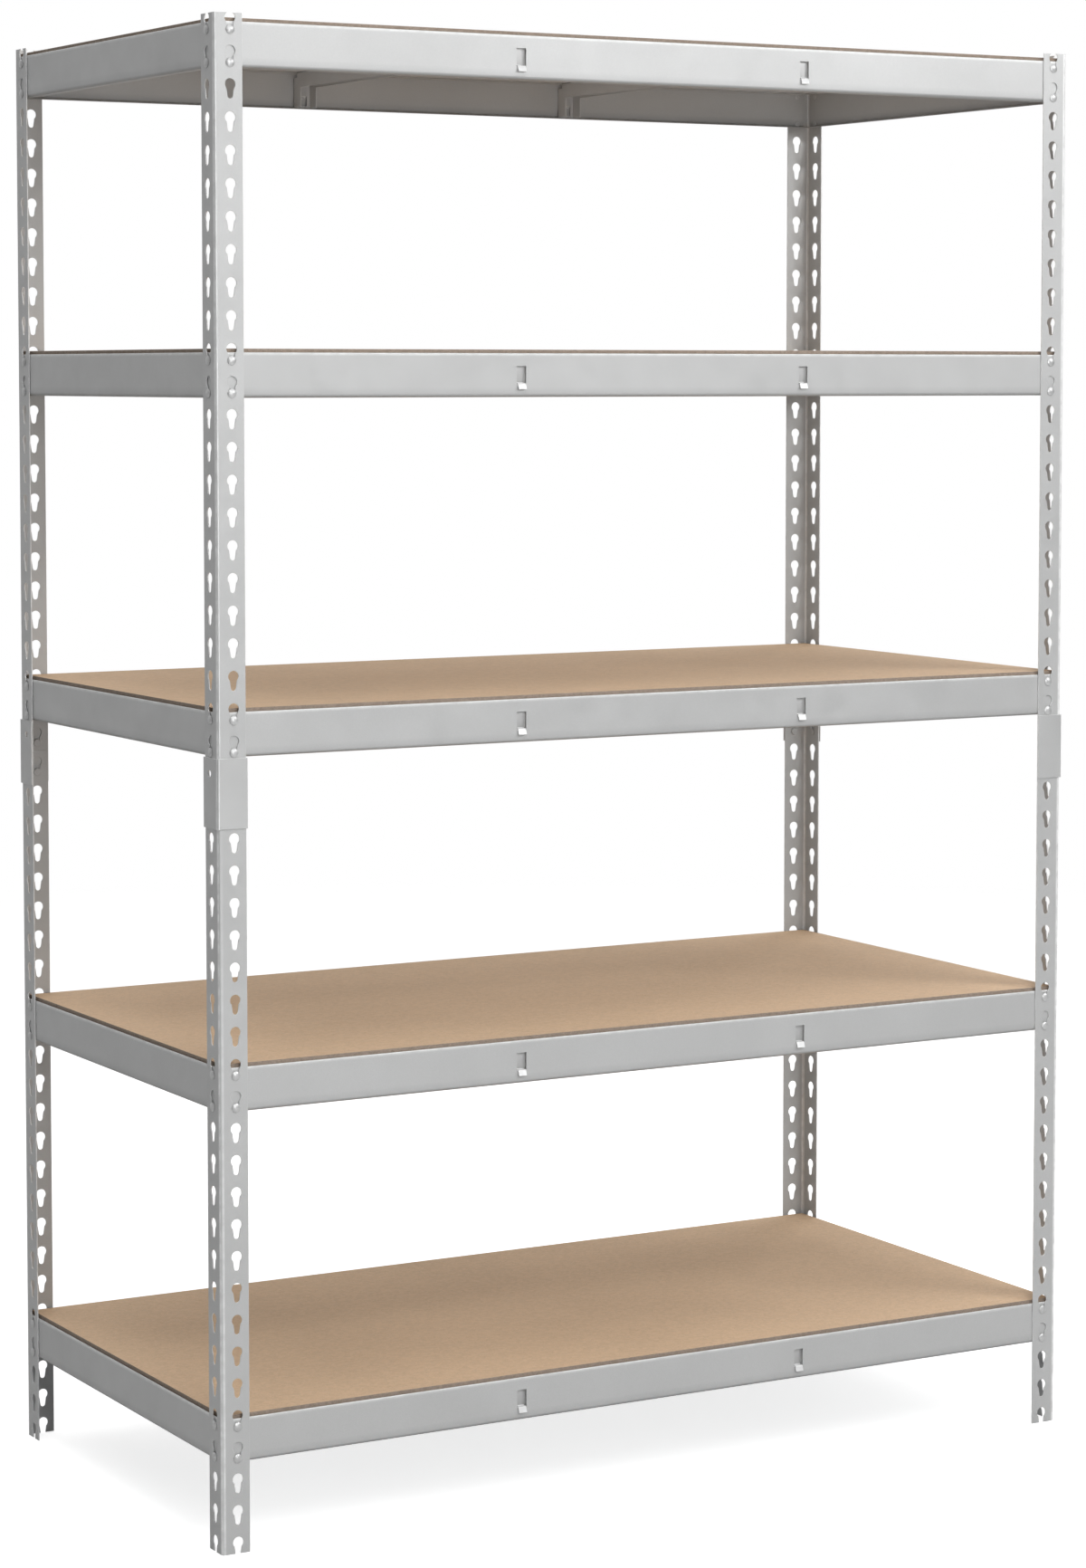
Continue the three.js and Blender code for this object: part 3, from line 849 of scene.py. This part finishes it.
def paint_material(name, colour, highlight_colour, roughness, metallic):
    """A thin light grey coat on steel: fine orange peel, cloudy gloss, painted highlights on bends and
    rims.
    """
    material, nodes, look = new_material(name)
    place = nodes.coordinates()
    cloud = nodes.ranged(nodes.noise(place, *COAT_CLOUDS), *MOST_OF_NOISE, 0.0, 1.0)
    tint = nodes.mixed(cloud, *(shaded(colour, shade) for shade in CLOUD_SHADES))
    grain = nodes.ranged(nodes.noise(place, *COAT_GRAIN), *GRAIN_OF_NOISE, 0.0, 1.0)
    speck = nodes.mixed(grain, *((shade, shade, shade, 1) for shade in GRAIN_SHADES))
    tint = nodes.mixed(1.0, tint, speck, "MULTIPLY")
    # the vertex attribute is painted light: a painted highlight above 0 and painted shade below 0
    wear = nodes.add("ShaderNodeAttribute", attribute_name="wear").outputs["Fac"]
    # painted shade: darker where the attribute is below 0
    painted_shade = nodes.ranged(wear, FOOT_PAINTED_SHADE_MOST, 0.0, 1.0, 0.0)
    tint = nodes.mixed(painted_shade, tint, shaded(colour, PAINTED_SHADE_FACTOR))
    # painted highlight: paler where the attribute is above 0, in patches from a noise
    highlight_patches = nodes.ranged(nodes.noise(place, *COAT_HIGHLIGHT_PATCHES), *HIGHLIGHT_PATCHES_OF_NOISE, *HIGHLIGHT_PATCH_SHARES)
    tint = nodes.mixed(nodes.number("MULTIPLY", wear, highlight_patches), tint, shaded(highlight_colour))
    nodes.put(look["Base Color"], tint)
    least, most = [roughness + change for change in GLOSS_SPREAD]
    gloss = nodes.ranged(nodes.noise(place, *COAT_GLOSS), *MOST_OF_NOISE, least, most)
    nodes.put(look["Roughness"], gloss)
    nodes.put(look["Metallic"], metallic)
    waves = nodes.bump(nodes.noise(place, *COAT_WAVES), *WAVE_RELIEF)
    nodes.put(look["Normal"], nodes.bump(nodes.noise(place, *COAT_PEEL), *PEEL_RELIEF, waves))
    return material


def board_material(name, pale, dark, chip_scale, relief, contrast):
    """Particle board: pressed chips of many shades, with a few dark flecks."""
    material, nodes, look = new_material(name)
    place = nodes.coordinates()
    wobble = nodes.add("ShaderNodeTexNoise", {"Vector": place, "Scale": CHIP_WOBBLE})
    shift = nodes.vector("MULTIPLY", wobble.outputs["Color"], [CHIP_WOBBLE_REACH] * 3)
    chips_at = nodes.vector("ADD", place, shift)
    chips = nodes.number("ADD", nodes.chips(chips_at, chip_scale),
                         nodes.chips(chips_at, chip_scale * FINER_CHIPS))
    share = nodes.ranged(chips, 0.0, 2.0, 0.5 - contrast, 0.5 + contrast)
    cloud = nodes.ranged(nodes.noise(place, *BOARD_CLOUDS), *MOST_OF_NOISE, -CLOUD_SHIFT, CLOUD_SHIFT)
    tint = nodes.mixed(nodes.number("ADD", share, cloud), shaded(dark), shaded(pale))
    fleck = nodes.ranged(nodes.noise(place, *BOARD_FLECKS), *FLECKS_OF_NOISE, 0.0, FLECK_SHARE)
    nodes.put(look["Base Color"], nodes.mixed(fleck, tint, shaded(dark, FLECK_SHADE)))
    gloss = nodes.ranged(nodes.noise(place, *BOARD_GLOSS), *MOST_OF_NOISE, *BOARD_ROUGHNESS)
    nodes.put(look["Roughness"], gloss)
    nodes.put(look["Specular IOR Level"], BOARD_SPECULAR)
    strength = RELIEF_STRENGTH * relief
    fibres = nodes.bump(nodes.noise(place, *BOARD_FIBRES), strength, FIBRE_RELIEF)
    nodes.put(look["Normal"], nodes.bump(chips, strength, CHIP_RELIEF, fibres))
    return material


# ----------------------------------------------------------------- stage and light

WHITE = (1, 1, 1, 1)

# The camera: its angles, and in metres its distance and what it aims at
CAMERA_AZIMUTH = math.radians(-29.47)
CAMERA_ELEVATION = math.radians(4.02)
CAMERA_DISTANCE = 5.090
CAMERA_AIM_RIGHT = -0.002
CAMERA_AIM_HEIGHT = 1.0365
CAMERA_LENS = 89.32  # millimetres
CAMERA_SHIFT_Y = -0.0866
CAMERA_CLIP = 200

# The lights: name, place, aim and size in metres, and power in watts
LIGHTS = (
    ("key", (2.0, -3.0, 2.9), (0, 0, 1.2), (2.3, 1.5), 66),
    ("second", (-0.8, -3.2, 2.9), (0, 0, 1.2), (1.5, 1.5), 32),
    ("low_front", (-0.5, -3.0, 1.2), (0, 0, 1.2), (1.0, 1.0), 19),
    ("top_front", (0.4, -2.8, 7.4), (0, 0, 1.0), (5.0, 4.0), 98),
    ("top_back", (0, 2.4, 7.6), (0, 0.4, 0.8), (6.0, 3.2), 98),
    ("top_left", (-3.0, -1.2, 6.8), (0, 0, 1.0), (4.0, 4.0), 84),
    ("right_back", (3.5, 1.8, 2.4), (0, 0, 1.0), (2.0, 2.0), 34),
)

# Brightness of the studio's soft walls, by the direction in which each one lies
WALLS = {"right": 0.04, "left": 0.02, "back": 0.70, "front": 0.03, "up": 0.05, "down": 0.05}

# The floor, in metres. It glows only for the camera, which keeps it white
FLOOR_RADIUS = 6.0
FLOOR_STEPS = 96
FLOOR_FADE = (2.4, 5.6)  # radii between which it fades out
FLOOR_GLOW = 0.74
FLOOR_COLOUR = (0.67, 0.67, 0.67)
FLOOR_ROUGHNESS = 0.9
FLOOR_SPECULAR = 0.1


def build_camera():
    low, high = CAD_BOX
    aim = Vector(((low.x + high.x) / 2 + CAMERA_AIM_RIGHT, (low.y + high.y) / 2,
                  low.z + CAMERA_AIM_HEIGHT))
    back = Vector((math.sin(CAMERA_AZIMUTH) * math.cos(CAMERA_ELEVATION),
                   -math.cos(CAMERA_AZIMUTH) * math.cos(CAMERA_ELEVATION),
                   math.sin(CAMERA_ELEVATION)))
    data = bpy.data.cameras.new("camera")
    data.lens = CAMERA_LENS
    data.shift_y = CAMERA_SHIFT_Y
    data.clip_end = CAMERA_CLIP
    camera = bpy.data.objects.new("camera", data)
    camera.location = aim + back * CAMERA_DISTANCE
    camera.rotation_mode = "QUATERNION"
    camera.rotation_quaternion = (-back).to_track_quat("-Z", "Y")
    bpy.context.scene.collection.objects.link(camera)
    bpy.context.scene.camera = camera


def build_lights():
    for name, place, aim, size, power in LIGHTS:
        data = bpy.data.lights.new(name, "AREA")
        data.shape = "RECTANGLE"
        data.size, data.size_y = size
        data.energy = power
        light = bpy.data.objects.new(name, data)
        light.location = place
        light.rotation_mode = "QUATERNION"
        light.rotation_quaternion = (Vector(aim) - Vector(place)).to_track_quat("-Z", "Y")
        bpy.context.scene.collection.objects.link(light)


def build_world():
    """White behind the object, and six dimmer soft walls for the light that reaches it."""
    world = bpy.data.worlds.new("studio")
    world.use_nodes = True
    bpy.context.scene.world = world
    nodes = Nodes(world.node_tree)
    room = world.node_tree.nodes["Background"]
    nodes.put(room.inputs["Color"], WHITE)
    direction = nodes.add("ShaderNodeTexCoord").outputs["Generated"]
    axes = nodes.add("ShaderNodeSeparateXYZ", {0: direction}).outputs
    total = 0.0
    for i, strength in enumerate(WALLS.values()):
        facing = nodes.add("ShaderNodeMath", {0: axes[i // 2], 1: -1.0 if i % 2 else 1.0},
                           operation="MULTIPLY", use_clamp=True).outputs[0]
        total = nodes.add("ShaderNodeMath", {0: facing, 1: strength, 2: total},
                          operation="MULTIPLY_ADD").outputs[0]
    nodes.put(room.inputs["Strength"], total)
    backdrop = nodes.add("ShaderNodeBackground", {"Color": WHITE})
    seen = nodes.add("ShaderNodeLightPath").outputs["Is Camera Ray"]
    mix = nodes.add("ShaderNodeMixShader", {
        "Fac": seen, 1: room.outputs[0], 2: backdrop.outputs[0]})
    nodes.put(world.node_tree.nodes["World Output"].inputs["Surface"], mix.outputs[0])


def build_floor():
    """A plain white floor, seen only from above, that melts into the backdrop away from the object."""
    mesh = bpy.data.meshes.new("floor")
    work = bmesh.new()
    bmesh.ops.create_circle(work, cap_ends=True, radius=FLOOR_RADIUS, segments=FLOOR_STEPS)
    work.normal_update()
    for face in work.faces:
        if face.normal.z < 0:
            face.normal_flip()
    work.to_mesh(mesh)
    work.free()
    floor = bpy.data.objects.new("floor", mesh)
    floor.location.z = CAD_BOX[0].z
    bpy.context.scene.collection.objects.link(floor)
    material, nodes, look = new_material("pale_floor")
    nodes.put(look["Base Color"], shaded(FLOOR_COLOUR))
    nodes.put(look["Roughness"], FLOOR_ROUGHNESS)
    nodes.put(look["Specular IOR Level"], FLOOR_SPECULAR)
    nodes.put(look["Emission Color"], WHITE)
    seen = nodes.add("ShaderNodeLightPath").outputs["Is Camera Ray"]
    nodes.put(look["Emission Strength"], nodes.number("MULTIPLY", seen, FLOOR_GLOW))
    place = nodes.add("ShaderNodeTexCoord").outputs["Object"]
    reach = nodes.add("ShaderNodeVectorMath", {0: place}, operation="LENGTH").outputs["Value"]
    fade = nodes.ranged(reach, *FLOOR_FADE, 1.0, 0.0)
    below = nodes.add("ShaderNodeNewGeometry").outputs["Backfacing"]
    above = nodes.ranged(below, 0.0, 1.0, 1.0, 0.0)
    nodes.put(look["Alpha"], nodes.number("MULTIPLY", fade, above))
    mesh.materials.append(material)


def build_all():
    bpy.context.scene.view_settings.view_transform = "Standard"
    coats = {kind: paint_material(f"grey_{kind}_coat", *coat) for kind, coat in COATS.items()}
    looks = [board_material(f"board_{side}", *look) for side, look in BOARD_LOOKS.items()]
    build_posts(coats["post"])
    build_couplers(coats["post"])
    build_beams(coats["beam"], coats["rivet"])
    build_tie_bars(coats["bar"])
    build_boards(looks)
    build_floor()
    build_world()
    build_lights()
    build_camera()


build_all()
